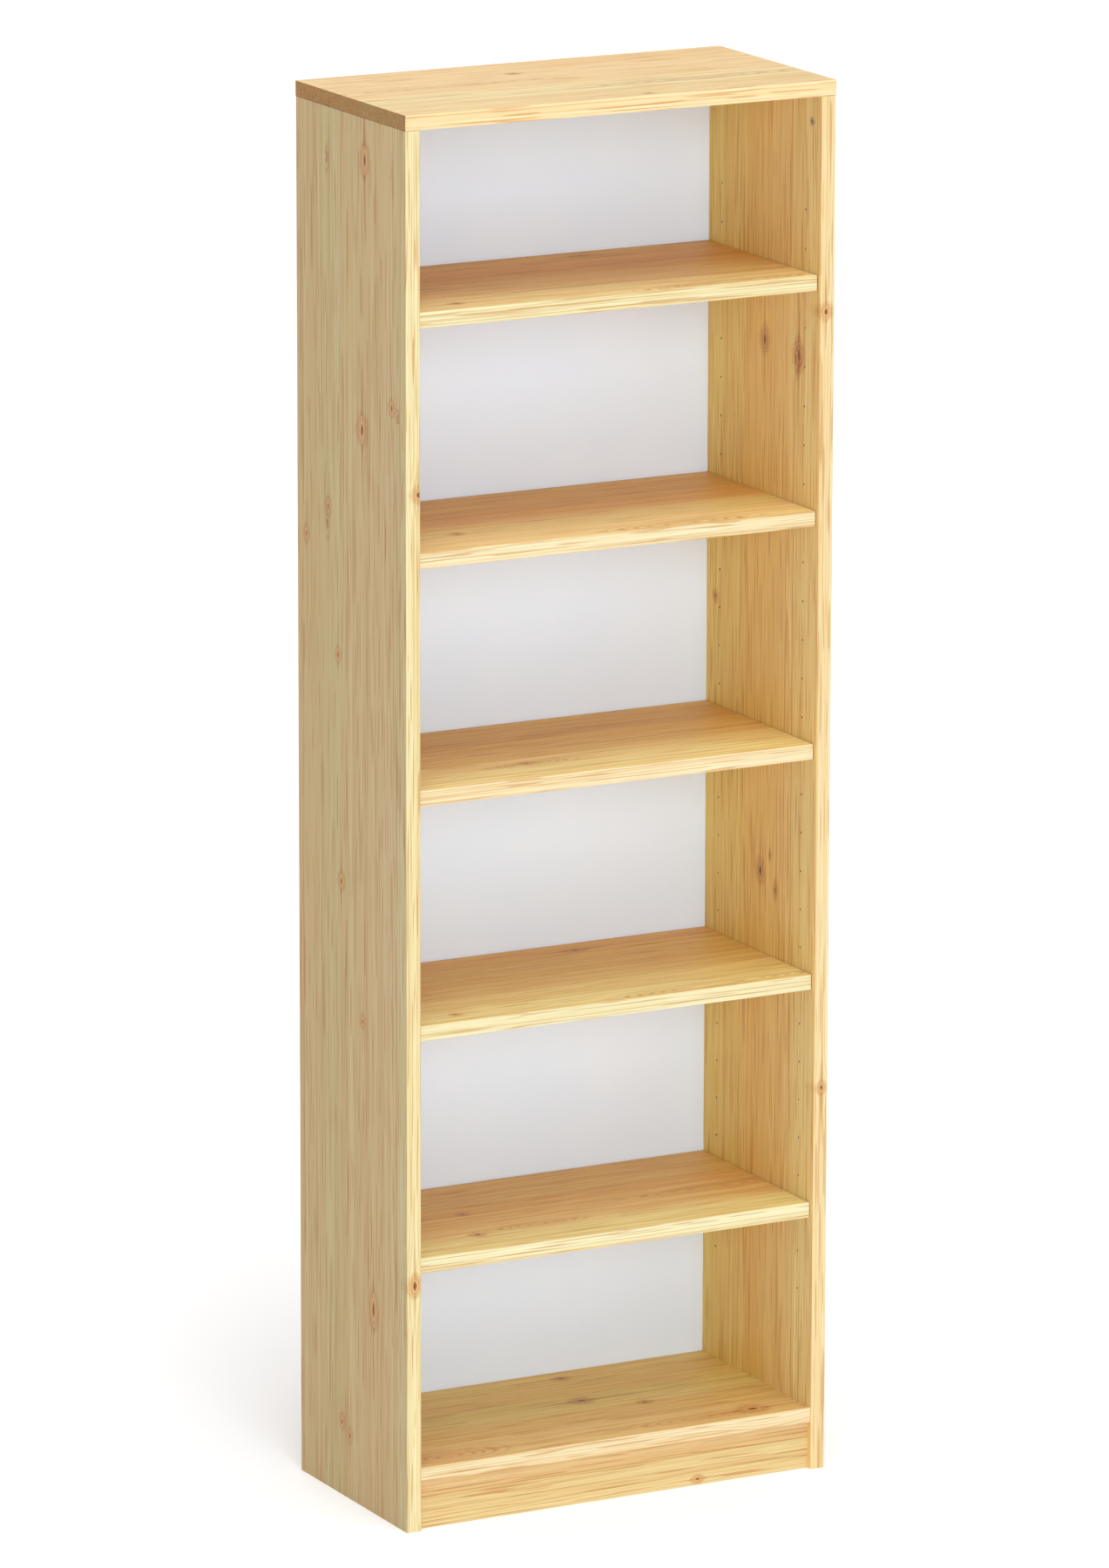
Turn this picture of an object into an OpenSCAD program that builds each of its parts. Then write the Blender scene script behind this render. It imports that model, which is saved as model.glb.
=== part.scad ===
// Bookcase with adjustable shelves, in glued-up pine board.
// Millimetres. Z is up, the open front faces -Y, and the origin is the middle of the
// bookcase's footprint, on the floor.

/* [Case] */
// Width over the two sides
case_w = 600; // [500:10:900]
// Depth, front edge to back edge
case_d = 300; // [250:5:400]
// Height, floor to the top face
case_h = 1800; // [1780:5:2200]
// Thickness of every pine board
board_t = 20; // [18:0.5:22]
// Radius of the eased arrises along the boards
arris_r = 1.5; // [0.5:0.1:3]

/* [Foot] */
// Height of the plinth, which is also the underside of the bottom shelf
plinth_h = 62; // [50:1:90]
// How far the plinth's face stands back from the front edge
plinth_inset = 9; // [0:1:20]
// How far the bottom shelf stands back from the front edge
bottom_inset = 2.3; // [0:0.1:10]

/* [Shelves] */
// How far an adjustable shelf stands back from the front edge
shelf_inset = 7.6; // [4:0.1:20]
// Gap at each end of a shelf
shelf_end_gap = 1; // [0.5:0.1:2]
// Gap between a shelf and the back panel
shelf_back_gap = 1; // [0.5:0.1:3]
// Gap between a shelf and the pins, so that it can be drawn out
shelf_rest_gap = 0.2; // [0.1:0.1:0.5]
// Hole, counted from the top, that holds up the top shelf
first_shelf_hole = 3; // [1:1:5]
// Holes from one shelf down to the next
holes_per_shelf = 6; // [2:1:6]

/* [Pin holes] */
// Holes in one row
hole_count = 29; // [29:1:30]
// Distance between the holes of a row
hole_pitch = 50; // [30:1:50]
// Top face of the case down to the first hole
first_hole_drop = 168; // [120:1:170]
// Diameter of a pin hole
hole_d = 3.1; // [3.05:0.05:3.15]
// Depth of a pin hole
hole_depth = 11; // [10.5:0.5:13]
// Front row, back from the front edge
front_row_inset = 39.2; // [30:0.2:60]
// Back row, forward from the back edge
back_row_inset = 43.9; // [30:0.1:60]
// Diameter of a shelf pin
pin_d = 3; // [2.9:0.05:3]
// Length of a shelf pin
pin_l = 20; // [16:1:24]
// Length of a shelf pin inside its hole
pin_seat = 10; // [8:1:10]

/* [Back panel] */
// Thickness of the back panel
panel_t = 3; // [2.5:0.1:4]
// Back edge of the case to the back panel's front face
panel_inset = 9.6; // [8:0.1:12]
// Depth of the panel's edge in its groove
groove_depth = 6; // [4:0.5:8]
// Play around the panel in its groove
groove_play = 0.15; // [0.1:0.05:0.5]
// Nails along the panel's foot
nail_count = 5; // [3:1:7]

/* [Fittings] */
// Joint face to the axis of the cam
cam_drop = 35; // [30:1:40]
// Diameter of a cam
cam_d = 12; // [11:0.5:13]
// Length of a cam
cam_l = 15; // [14:0.5:15.5]
// Front cams, back from the front edge
cam_front_inset = 24.6; // [20:0.2:34]
// Back cams, forward from the back edge
cam_back_inset = 42; // [34:1:60]
// Front cams of the bottom shelf, clear of the plinth, back from the front edge
foot_cam_inset = 50; // [46:1:60]
// Diameter of a wooden dowel
dowel_d = 8; // [6:1:8]
// Length of a dowel in the face of a board
dowel_short = 11; // [8:1:12]
// Length of a dowel in the end or edge of a board
dowel_long = 23; // [15:1:25]

/* [Hidden] */
$fn = 48;
eps = 0.01;
SHELVES = [1, 2, 3, 4, 5];
SIDES = ["left", "right"];
ENDS = ["front", "back"];

front_y = -case_d / 2;
back_y = case_d / 2;
inner_x = case_w / 2 - board_t;
side_h = case_h - board_t;
mid_x = case_w / 2 - board_t / 2;
panel_y = back_y - panel_inset;
bottom_mid_z = plinth_h + board_t / 2;

hole_rows_y = [front_y + front_row_inset, back_y - back_row_inset];
first_hole_z = case_h - first_hole_drop;
shelf_d = panel_y - shelf_back_gap - (front_y + shelf_inset);
shelf_mid_y = front_y + shelf_inset + shelf_d / 2;
bottom_d = panel_y - (front_y + bottom_inset);
bottom_mid_y = front_y + bottom_inset + bottom_d / 2;
plinth_mid_y = front_y + plinth_inset + board_t / 2;

cam_play = 0.1;
top_cam_rows_y = [front_y + cam_front_inset, back_y - cam_back_inset];
bottom_cam_rows_y = [front_y + foot_cam_inset, back_y - cam_back_inset];
bolt_bore_d = 8;
bolt_thread_d = 5;
bolt_thread_l = 11;
bolt_shank_d = 5;
bolt_neck_d = 3.6;
bolt_neck_l = 5;
bolt_head_d = 6.6;
bolt_collar_d = 7.6;
bolt_collar_l = 1.4;
slot_l = 7.5;
slot_w = 1.3;
slot_depth = 2.2;
slot_turn = 20;
hollow_play = 0.4;
neck_play = 0.5;

dowel_play = 0.1;
dowel_chamfer = 0.8;
dowel_face_bore = dowel_short + 0.5;
dowel_end_bore = dowel_long + 1;
dowel_rows_y = [-0.2 * case_d, 0.15 * case_d];
plinth_dowel_x = case_w / 4;

nail_d = 1.6;
nail_l = 22;
nail_head_d = 4;
nail_head_t = 0.6;
nail_row_l = 1.7 * inner_x;
nail_bore_l = nail_l - panel_t + 0.5;

pine_face = "#d9b06f";
pine_edge = "#f1dfae";
pine_shade = "#b39a66";
panel_white = "#e8e8e6";
steel = "silver";
zinc = "#9a8a72";
beech = "#d8bb8c";

// +1 for the right side, -1 for the left
function hand(side) = side == "right" ? 1 : -1;

// Row of pins or cams, 0 at the front and 1 at the back
function row(end) = end == "back" ? 1 : 0;

// Height of pin hole k, counted from the top and starting at 1
function hole_z(k) = first_hole_z - (k - 1) * hole_pitch;

// Height of the holes that shelf n rests on
function shelf_hole_z(n) = hole_z(first_shelf_hole + (n - 1) * holes_per_shelf);

// Underside of shelf n
function shelf_z(n) = shelf_hole_z(n) + pin_d / 2 + shelf_rest_gap;

// Places of the nails along the foot of the back panel
function nail_x(i) = (i - (nail_count - 1) / 2) * nail_row_l / (nail_count - 1);

// ---------------------------------------------------------------- shared shapes

// Rectangle a by b, centred, with its corners rounded to radius r
module eased_rect(a, b, r) {
    square([a - 2 * r, b], center = true);
    square([a, b - 2 * r], center = true);
    for (u = [-1, 1], v = [-1, 1])
        translate([u * (a / 2 - r), v * (b / 2 - r)]) circle(r);
}

// Board lying flat with its grain along X, underside on Z = 0, long arrises eased
module flat_board(length, depth) {
    translate([0, 0, board_t / 2])
        rotate([90, 0, 90])
            linear_extrude(length, center = true)
                eased_rect(depth, board_t, arris_r);
}

// Cylinder along X from the inner face of a side into the board, at height z and depth y
module bore_into_side(side, y, z, d, depth) {
    translate([hand(side) * inner_x, y, z])
        rotate([0, hand(side) * 90, 0])
            translate([0, 0, -eps]) cylinder(h = depth + eps, d = d);
}

// Cylinder along X from the end of a board between the sides, inwards
module bore_into_end(side, y, z, d, depth) {
    translate([hand(side) * inner_x, y, z])
        rotate([0, -hand(side) * 90, 0])
            translate([0, 0, -eps]) cylinder(h = depth + eps, d = d);
}

// Wooden dowel on the Z axis: the short end below Z = 0, the long end above it
module dowel() {
    r = dowel_d / 2;
    rotate_extrude()
        polygon([
            [0, -dowel_short],
            [r - dowel_chamfer, -dowel_short],
            [r, -dowel_short + dowel_chamfer],
            [r, dowel_long - dowel_chamfer],
            [r - dowel_chamfer, dowel_long],
            [0, dowel_long]
        ]);
}

// Bolt of a cam fitting on the Z axis: thread below Z = 0, ball head at Z = cam_drop
module cam_bolt() {
    rotate_extrude()
        polygon([
            [0, -bolt_thread_l],
            [bolt_thread_d / 2 - 1, -bolt_thread_l],
            [bolt_thread_d / 2, -bolt_thread_l + 2],
            [bolt_thread_d / 2, 0],
            [bolt_collar_d / 2, 0],
            [bolt_collar_d / 2, bolt_collar_l],
            [bolt_shank_d / 2, bolt_collar_l],
            [bolt_shank_d / 2, cam_drop - cam_d / 2 - bolt_neck_l / 2],
            [bolt_neck_d / 2, cam_drop - cam_d / 2 - bolt_neck_l / 2 + 1],
            [bolt_neck_d / 2, cam_drop],
            [0, cam_drop]
        ]);
    translate([0, 0, cam_drop]) sphere(d = bolt_head_d);
}

// Cam on the Z axis, its slotted face at Z = 0 and its body above. The bolt's ball head sits
// in a hollow that is open behind, half a board deep, and the neck leaves along +X.
module cam() {
    hollow_z = board_t / 2 - bolt_head_d / 2 - cam_play;
    neck_w = bolt_neck_d + 2 * neck_play;
    difference() {
        cylinder(h = cam_l, d = cam_d - cam_play);
        for (turn = [0, 90])
            rotate([0, 0, turn + slot_turn])
                translate([-slot_l / 2, -slot_w / 2, -eps]) cube([slot_l, slot_w, slot_depth]);
        translate([0, 0, hollow_z]) cylinder(h = cam_l, d = bolt_head_d + 2 * hollow_play);
        translate([0, -neck_w / 2, (board_t - neck_w) / 2]) cube([cam_d, neck_w, cam_l]);
    }
}

// ---------------------------------------------------------------- the case

// Side board, with its pin holes, the groove for the back panel and the seats of the fittings
module side_board(side) {
    difference() {
        translate([hand(side) * mid_x, 0, 0])
            linear_extrude(side_h) eased_rect(board_t, case_d, arris_r);
        for (k = [1 : hole_count], y = hole_rows_y)
            bore_into_side(side, y, hole_z(k), hole_d, hole_depth);
        translate([
            hand(side) * inner_x - groove_depth - groove_play,
            panel_y - groove_play,
            -eps
        ])
            cube([2 * (groove_depth + groove_play), panel_t + 2 * groove_play, side_h + 2 * eps]);
        for (y = top_cam_rows_y) {
            bore_into_side(side, y, side_h - cam_drop, cam_d, cam_l + cam_play);
            translate([hand(side) * mid_x, y, side_h - cam_drop])
                cylinder(h = cam_drop + eps, d = bolt_bore_d);
        }
        for (y = bottom_cam_rows_y)
            bore_into_side(side, y, bottom_mid_z, bolt_thread_d, bolt_thread_l + cam_play);
        for (y = dowel_rows_y)
            translate([hand(side) * mid_x, y, side_h - dowel_end_bore])
                cylinder(h = dowel_end_bore + eps, d = dowel_d + dowel_play);
        for (y = dowel_rows_y)
            bore_into_side(side, y, bottom_mid_z, dowel_d + dowel_play, dowel_face_bore);
        bore_into_side(side, plinth_mid_y, plinth_h / 2, dowel_d + dowel_play, dowel_face_bore);
    }
}

module left_side() {
    color(pine_shade) side_board("left");
}

module right_side() {
    color(pine_face) side_board("right");
}

// Top, laid over both sides and flush with them all round
module top_panel() {
    color(pine_edge)
        difference() {
            translate([0, 0, side_h])
                intersection() {
                    flat_board(case_w, case_d);
                    translate([0, 0, board_t / 2])
                        rotate([90, 0, 0])
                            linear_extrude(case_d, center = true)
                                eased_rect(case_w, board_t, arris_r);
                }
            translate([-inner_x - groove_depth - groove_play, panel_y - groove_play, side_h - eps])
                cube([
                    2 * (inner_x + groove_depth + groove_play),
                    panel_t + 2 * groove_play,
                    groove_depth + groove_play + eps
                ]);
            for (side = SIDES) {
                for (y = top_cam_rows_y)
                    translate([hand(side) * mid_x, y, side_h - eps])
                        cylinder(h = bolt_thread_l + cam_play + eps, d = bolt_thread_d);
                for (y = dowel_rows_y)
                    translate([hand(side) * mid_x, y, side_h - eps])
                        cylinder(h = dowel_face_bore + eps, d = dowel_d + dowel_play);
            }
        }
}

// Fixed bottom shelf, between the sides, on top of the plinth
module bottom_shelf() {
    color(pine_edge)
        difference() {
            translate([0, bottom_mid_y, plinth_h]) flat_board(2 * inner_x, bottom_d);
            for (side = SIDES) {
                for (y = bottom_cam_rows_y) {
                    bore_into_end(side, y, bottom_mid_z, bolt_bore_d, cam_drop);
                    translate([hand(side) * (inner_x - cam_drop), y, plinth_h - eps])
                        cylinder(h = cam_l + cam_play + eps, d = cam_d);
                }
                for (y = dowel_rows_y)
                    bore_into_end(side, y, bottom_mid_z, dowel_d + dowel_play, dowel_end_bore);
                translate([hand(side) * plinth_dowel_x, plinth_mid_y, plinth_h - eps])
                    cylinder(h = dowel_face_bore + eps, d = dowel_d + dowel_play);
            }
            for (i = [0 : nail_count - 1])
                translate([nail_x(i), panel_y + eps, bottom_mid_z])
                    rotate([90, 0, 0]) cylinder(h = nail_bore_l, d = nail_d);
        }
}

// Plinth board under the front of the bottom shelf
module plinth() {
    color(pine_edge)
        difference() {
            translate([-inner_x, plinth_mid_y - board_t / 2, 0])
                cube([2 * inner_x, board_t, plinth_h]);
            for (side = SIDES) {
                bore_into_end(side, plinth_mid_y, plinth_h / 2, dowel_d + dowel_play, dowel_end_bore);
                translate([hand(side) * plinth_dowel_x, plinth_mid_y, plinth_h - dowel_end_bore])
                    cylinder(h = dowel_end_bore + eps, d = dowel_d + dowel_play);
            }
        }
}

// Thin panel that slides into the grooves and is nailed to the bottom shelf
module back_panel() {
    color(panel_white)
        difference() {
            translate([-inner_x - groove_depth, panel_y, plinth_h])
                cube([
                    2 * (inner_x + groove_depth),
                    panel_t,
                    side_h + groove_depth - plinth_h
                ]);
            for (i = [0 : nail_count - 1])
                translate([nail_x(i), panel_y + panel_t + eps, bottom_mid_z])
                    rotate([90, 0, 0]) cylinder(h = panel_t + 2 * eps, d = nail_d);
        }
}

// ---------------------------------------------------------------- shelves and their pins

// Adjustable shelf n, counted from the top
module shelf(n) {
    color(pine_edge)
        translate([0, shelf_mid_y, shelf_z(n)])
            flat_board(2 * (inner_x - shelf_end_gap), shelf_d);
}

// Steel pin that holds up one corner of shelf n
module shelf_pin(n, side, end) {
    tip = 0.4;
    color(steel)
        translate([hand(side) * (inner_x + pin_seat), hole_rows_y[row(end)], shelf_hole_z(n)])
            rotate([0, -hand(side) * 90, 0])
                rotate_extrude()
                    polygon([
                        [0, 0],
                        [pin_d / 2 - tip, 0],
                        [pin_d / 2, tip],
                        [pin_d / 2, pin_l - tip],
                        [pin_d / 2 - tip, pin_l],
                        [0, pin_l]
                    ]);
}

// ---------------------------------------------------------------- fittings

// The two cams at the top of a side, let into its inner face
module top_cams(side) {
    color(zinc)
        for (y = top_cam_rows_y)
            translate([hand(side) * inner_x, y, side_h - cam_drop])
                rotate([0, hand(side) * 90, 0])
                    rotate([0, 0, hand(side) > 0 ? 180 : 0]) cam();
}

// The two bolts that hang from the top panel into those cams
module top_cam_bolts(side) {
    color(steel)
        for (y = top_cam_rows_y)
            translate([hand(side) * mid_x, y, side_h]) rotate([180, 0, 0]) cam_bolt();
}

// Dowels that place the top panel on a side
module top_dowels(side) {
    color(beech)
        for (y = dowel_rows_y)
            translate([hand(side) * mid_x, y, side_h]) rotate([180, 0, 0]) dowel();
}

// The two cams at one end of the bottom shelf, let into its underside
module bottom_cams(side) {
    color(zinc)
        for (y = bottom_cam_rows_y)
            translate([hand(side) * (inner_x - cam_drop), y, plinth_h])
                rotate([0, 0, hand(side) > 0 ? 0 : 180]) cam();
}

// The two bolts that stand out of a side into those cams
module bottom_cam_bolts(side) {
    color(steel)
        for (y = bottom_cam_rows_y)
            translate([hand(side) * inner_x, y, bottom_mid_z])
                rotate([0, -hand(side) * 90, 0]) cam_bolt();
}

// Dowels that place the bottom shelf on a side
module bottom_dowels(side) {
    color(beech)
        for (y = dowel_rows_y)
            translate([hand(side) * inner_x, y, bottom_mid_z])
                rotate([0, -hand(side) * 90, 0]) dowel();
}

// Dowels from the sides into the ends of the plinth
module plinth_end_dowels() {
    color(beech)
        for (side = SIDES)
            translate([hand(side) * inner_x, plinth_mid_y, plinth_h / 2])
                rotate([0, -hand(side) * 90, 0]) dowel();
}

// Dowels from the bottom shelf into the top edge of the plinth
module plinth_edge_dowels() {
    color(beech)
        for (side = SIDES)
            translate([hand(side) * plinth_dowel_x, plinth_mid_y, plinth_h])
                rotate([180, 0, 0]) dowel();
}

// Nails through the foot of the back panel into the bottom shelf's back edge
module back_panel_nails() {
    color(steel)
        for (i = [0 : nail_count - 1])
            translate([nail_x(i), panel_y + panel_t, bottom_mid_z])
                rotate([90, 0, 0])
                    rotate_extrude()
                        polygon([
                            [0, -nail_head_t],
                            [nail_head_d / 2, -nail_head_t],
                            [nail_head_d / 2, 0],
                            [nail_d / 2, 0],
                            [nail_d / 2, nail_l - 2],
                            [0, nail_l]
                        ]);
}

// ---------------------------------------------------------------- the assembly

left_side();
right_side();
top_panel();
bottom_shelf();
plinth();
back_panel();
for (n = SHELVES)
    shelf(n);
for (n = SHELVES, side = SIDES, end = ENDS)
    shelf_pin(n, side, end);
for (side = SIDES) {
    top_cams(side);
    top_cam_bolts(side);
    top_dowels(side);
    bottom_cams(side);
    bottom_cam_bolts(side);
    bottom_dowels(side);
}
plinth_end_dowels();
plinth_edge_dowels();
back_panel_nails();
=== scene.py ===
# %% [markdown]
# # A pine bookcase with adjustable shelves
#
# This lesson dresses a finished CAD model of a tall, narrow bookcase. The CAD already has every
# board, groove, pin hole and fitting at its true size, so nothing here changes a measure. What is
# left for Blender is the look: glued-up pine with its rings, knots and resin, a white hardboard
# back, bright steel pins, zinc cams and beech dowels, in a plain pale studio.

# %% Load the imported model
import math

import bpy
import numpy as np
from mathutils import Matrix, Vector


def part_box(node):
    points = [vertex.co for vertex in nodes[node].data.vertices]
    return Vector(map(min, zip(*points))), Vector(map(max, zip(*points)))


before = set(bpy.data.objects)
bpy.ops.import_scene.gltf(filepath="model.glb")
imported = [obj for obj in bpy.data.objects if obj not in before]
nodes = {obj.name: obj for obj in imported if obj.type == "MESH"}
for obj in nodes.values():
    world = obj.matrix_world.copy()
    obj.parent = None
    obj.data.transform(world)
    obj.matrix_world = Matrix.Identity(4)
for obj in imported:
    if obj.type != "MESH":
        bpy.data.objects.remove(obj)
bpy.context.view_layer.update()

# %% [markdown]
# ## The camera
#
# A tall object is best seen from far off with a long lens, which keeps its sides almost parallel.
# The camera could be aimed with a Track To constraint, but plain angles are easier to read: it
# stands to the left of the front, a little above half height, and looks slightly down.

# %% Camera
STAND = Vector((-5.523, -10.423, 3.718))
TURN, TILT, ROLL = -0.4857, 0.2343, -0.0021
camera_data = bpy.data.cameras.new("camera")
camera_data.lens = 220.8
camera_data.sensor_width = 36.0
camera_data.clip_end = 200.0
camera = bpy.data.objects.new("camera", camera_data)
camera.rotation_mode = "XYZ"
camera.location = STAND
camera.rotation_euler = (math.pi / 2 - TILT, ROLL, TURN)
bpy.context.scene.collection.objects.link(camera)
bpy.context.scene.camera = camera
print("camera is", round(STAND.length, 2), "m from the foot of the bookcase")

# %% [markdown]
# ## Small helpers for node trees
#
# A shader with many nodes is tedious to write out, so three short helpers do the wiring. A value
# that is another node's output is linked, and anything else is set on the socket itself.

# %% Helpers for node trees
def fill(tree, socket, value):
    """Links value to the socket if it is another node's output, and otherwise sets it there."""
    if isinstance(value, bpy.types.NodeSocket):
        tree.links.new(value, socket)
    elif value is not None:
        socket.default_value = value


def add(tree, kind, *values, **settings):
    """Adds a node with its settings and fills its sockets in order. None leaves a socket alone."""
    made = tree.nodes.new("ShaderNode" + kind)
    for name, value in settings.items():
        setattr(made, name, value)
    for socket, value in zip(made.inputs, values):
        fill(tree, socket, value)
    return made


def calc(tree, operation, *values):
    """One sum on numbers."""
    return add(tree, "Math", *values, operation=operation).outputs[0]


def vector(tree, operation, *values):
    """One sum on vectors. A length or a dot product comes out as a number."""
    made = add(tree, "VectorMath", *values, operation=operation)
    return made.outputs[1 if operation in ("LENGTH", "DOT_PRODUCT") else 0]


def ramp(tree, value, start, end, low=0.0, high=1.0):
    """Smooth step: low where value is at start, high where it is at end, and level beyond."""
    made = add(tree, "MapRange", value, start, end, low, high, interpolation_type="SMOOTHSTEP")
    return made.outputs[0]


def mix(tree, share, a, b, blend="MIX"):
    """Colour a turning into colour b by share, or a with b blended over it."""
    made = tree.nodes.new("ShaderNodeMix")
    made.data_type, made.blend_type = "RGBA", blend
    for index, value in ((0, share), (6, a), (7, b)):
        fill(tree, made.inputs[index], value)
    return made.outputs[2]


def noise(tree, place, scale, detail=2.0, roughness=0.5):
    """Smooth noise about 0.5 at a place; scale is in waves per unit of that place."""
    made = add(tree, "TexNoise", place)
    for name, value in (("Scale", scale), ("Detail", detail), ("Roughness", roughness)):
        made.inputs[name].default_value = value
    return made.outputs["Fac"]


def paint(code, alpha=1.0):
    """The linear colour of a #rrggbb code: each part c becomes ((c + 0.055) / 1.055) to the 2.4."""
    parts = [int(code[i : i + 2], 16) / 255 for i in (1, 3, 5)]
    line = [c / 12.92 if c <= 0.04045 else ((c + 0.055) / 1.055) ** 2.4 for c in parts]
    return (*line, alpha)


def new_material(name):
    """A material with an empty node tree, its shader and its output."""
    made = bpy.data.materials.new(name)
    made.use_nodes = True
    tree = made.node_tree
    tree.nodes.clear()
    shader = add(tree, "BsdfPrincipled")
    output = add(tree, "OutputMaterial", shader.outputs[0])
    output.is_active_output = True
    return made, tree, shader


print("middle grey #808080 is", round(paint("#808080")[0], 3), "in linear light")

# %% [markdown]
# ## The studio
#
# The bookcase stands on a plain white floor that runs out of view on all sides. One soft sun
# stands low in front, a weaker one fills from the left, a third is almost overhead, and a faint one
# behind keeps the back from going dull. Area lamps would do as well, but a sun is equally strong
# everywhere, so the wide floor stays evenly white. None does more than graze the left side, which
# is lit by the floor, and so lies in shade. The sky is white near the horizon, where a low view
# looks past the floor's edge, and dim above, where its light would flatten the shading.

# %% Floor
FLOOR_HALF = 45.0
floor_mesh = bpy.data.meshes.new("floor")
corners = np.array([(-1, -1, 0), (1, -1, 0), (1, 1, 0), (-1, 1, 0)], float) * FLOOR_HALF
floor_mesh.from_pydata(corners.tolist(), [], [(0, 1, 2, 3)])
floor = bpy.data.objects.new("floor", floor_mesh)
bpy.context.scene.collection.objects.link(floor)

floor_paint, tree, shader = new_material("white_floor")
shader.inputs["Base Color"].default_value = paint("#f4f4f4")
shader.inputs["Roughness"].default_value = 0.9
shader.inputs["Specular IOR Level"].default_value = 0.1
shader.inputs["Emission Color"].default_value = (1.0, 1.0, 1.0, 1.0)
shader.inputs["Emission Strength"].default_value = 0.15
floor_mesh.materials.append(floor_paint)
print("the floor is", 2 * FLOOR_HALF, "m wide")

# %% Suns and sky
def sun(name, azimuth, elevation, strength, spread, colour=(1.0, 1.0, 1.0)):
    """A sun whose light comes from azimuth (0 in front, 90 at the right) and elevation, in degrees.
    The way to it is the sine of azimuth, minus its cosine, both times the cosine of elevation, and
    the sine of elevation."""
    data = bpy.data.lights.new(name, "SUN")
    data.energy, data.angle, data.color = strength, math.radians(spread), colour
    lamp = bpy.data.objects.new(name, data)
    a, e = math.radians(azimuth), math.radians(elevation)
    towards = Vector((math.sin(a) * math.cos(e), -math.cos(a) * math.cos(e), math.sin(e)))
    lamp.rotation_mode = "QUATERNION"
    lamp.rotation_quaternion = towards.to_track_quat("Z", "Y")
    bpy.context.scene.collection.objects.link(lamp)


sun("front_light", -12, 9, 1.57, 34, (0.87, 0.965, 1.1))
sun("fill_light", -28, 58, 0.6, 50)
sun("top_light", 0, 78, 2.0, 50)
sun("back_light", 180, 30, 0.7, 60)

HORIZON_TOP, SKY_START, SKY_STRENGTH = 0.09, 0.15, 0.12
world = bpy.data.worlds.new("studio")
world.use_nodes = True
tree = world.node_tree
background = tree.nodes["Background"]
background.inputs["Color"].default_value = (1.0, 1.0, 1.0, 1.0)
upwards = add(tree, "SeparateXYZ", add(tree, "TexCoord").outputs["Generated"]).outputs["Z"]
sky = ramp(tree, upwards, HORIZON_TOP, SKY_START, 1.0, SKY_STRENGTH)
fill(tree, background.inputs["Strength"], sky)
bpy.context.scene.world = world
bpy.context.scene.view_settings.view_transform = "Standard"
print("the studio has", len(bpy.data.lights), "soft suns")

# %% [markdown]
# ## What pine looks like
#
# A pine board is cut from a log, and its lines are the log's yearly rings seen in section. Each
# year starts pale and soft and ends in a thin, dark, hard line. A flat picture of lines would be
# simpler, but it would not run over an edge and show again as arcs on the board's end. So the
# rings are worked out in space: a point's distance from the heart of its log, in ring widths.
#
# A shelf this wide is glued up from narrow staves, each from another log. The place across the
# board gives the number of the stave, and the number gives a random heart and a random tint.
#
# A knot is a branch that grew through the rings, which flow round it. Close to a knot, the place
# across the grain is drawn towards the knot's centre, and that spreads the lines around it.

# %% Knots, flames and streaks as node groups
PUSH_SHAPE = (0.26, 0.55, 0.55)
TAIL_SHAPE = (0.14, 3.2, 3.2)


def new_group(name, inputs, outputs):
    """A node group with named sockets; V is a vector and F a number."""
    kinds = {"V": "NodeSocketVector", "F": "NodeSocketFloat"}
    tree = bpy.data.node_groups.new(name, "ShaderNodeTree")
    for words, way in ((inputs, "INPUT"), (outputs, "OUTPUT")):
        for word in words:
            label, kind = word.split(":")
            tree.interface.new_socket(name=label, in_out=way, socket_type=kinds[kind])
    return tree, tree.nodes.new("NodeGroupInput"), tree.nodes.new("NodeGroupOutput")


def knot_group():
    """Three things are passed on. The place has its lines bent round the knot: place minus push
    times offset times e to the minus stretched distance squared. The nearest reach is the least so
    far of a knot's distance in its own half sizes, half oval and half pointed like an eye, whose
    distance is across plus along squared. The tail is the same for its long thin ends."""
    tree, start, end = new_group(
        "knot",
        ["place:V", "nearest:F", "tail:F", "wobble:F", "centre:V", "half:V", "push:V"],
        ["place:V", "nearest:F", "tail:F"],
    )
    place, nearest, tail, wobble, centre, half, push = start.outputs[:7]
    offset = vector(tree, "SUBTRACT", place, centre)
    scaled = vector(tree, "DIVIDE", offset, half)
    along = add(tree, "SeparateXYZ", scaled).outputs[0]
    beside = vector(tree, "LENGTH", vector(tree, "MULTIPLY", scaled, (0.0, 1.0, 1.0)))
    eye = calc(tree, "MULTIPLY_ADD", along, along, beside)
    both = calc(tree, "ADD", vector(tree, "LENGTH", scaled), eye)
    reach = calc(tree, "MULTIPLY", calc(tree, "MULTIPLY", both, 0.5), wobble)
    slim = vector(tree, "MULTIPLY", scaled, PUSH_SHAPE)
    square = vector(tree, "DOT_PRODUCT", slim, slim)
    fade = calc(tree, "EXPONENT", calc(tree, "MULTIPLY", square, -1.0))
    pull = add(tree, "VectorMath", vector(tree, "MULTIPLY", offset, push), operation="SCALE")
    fill(tree, pull.inputs["Scale"], fade)
    fill(tree, end.inputs[0], vector(tree, "SUBTRACT", place, pull.outputs[0]))
    fill(tree, end.inputs[1], calc(tree, "MINIMUM", reach, nearest))
    thin = vector(tree, "LENGTH", vector(tree, "MULTIPLY", scaled, TAIL_SHAPE))
    fill(tree, end.inputs[2], calc(tree, "MINIMUM", calc(tree, "MULTIPLY", thin, wobble), tail))
    return tree


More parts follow.
